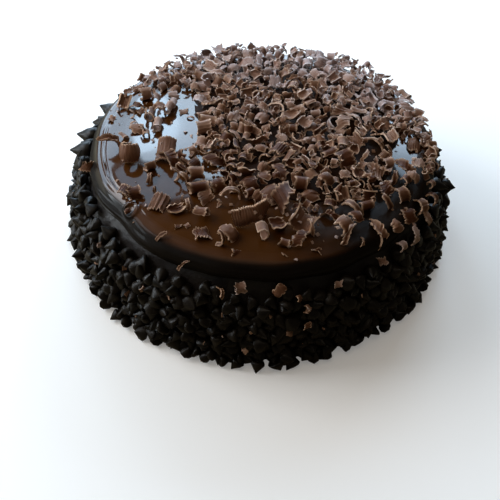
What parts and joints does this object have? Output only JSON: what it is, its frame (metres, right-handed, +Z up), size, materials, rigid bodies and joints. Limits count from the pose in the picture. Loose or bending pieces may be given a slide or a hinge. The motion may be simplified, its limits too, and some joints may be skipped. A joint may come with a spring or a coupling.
{
  "type": "chocolate mud cake",
  "caption": "Whole round chocolate mud cake, side coated in chocolate drops, poured dark glaze over the rim, heap of milk chocolate shavings on top.",
  "frame": {"origin": "middle of the flat base that the cake stands on", "axes": "+Z up through the cake, front of the picture towards -Y, +X to the right of the picture"},
  "size_m": [0.2118, 0.2092, 0.0706],
  "materials": {
    "ganache_coat": "soft dark ganache, slightly glossy",
    "chocolate_drops": "set dark chocolate, satin",
    "chocolate_glaze": "wet-looking poured glaze, very glossy",
    "chocolate_shavings": "dusty milk chocolate, matt with pale scraped edges"
  },
  "bodies": {
    "root": {"cake": "ganache_coat", "drop_coat": "chocolate_drops", "glaze": "chocolate_glaze", "shavings": "chocolate_shavings", "roll_front": "chocolate_shavings", "roll_left": "chocolate_shavings", "roll_mid_left": "chocolate_shavings", "roll_lower_left": "chocolate_shavings", "roll_lip": "chocolate_shavings"}
  },
  "joints": []
}
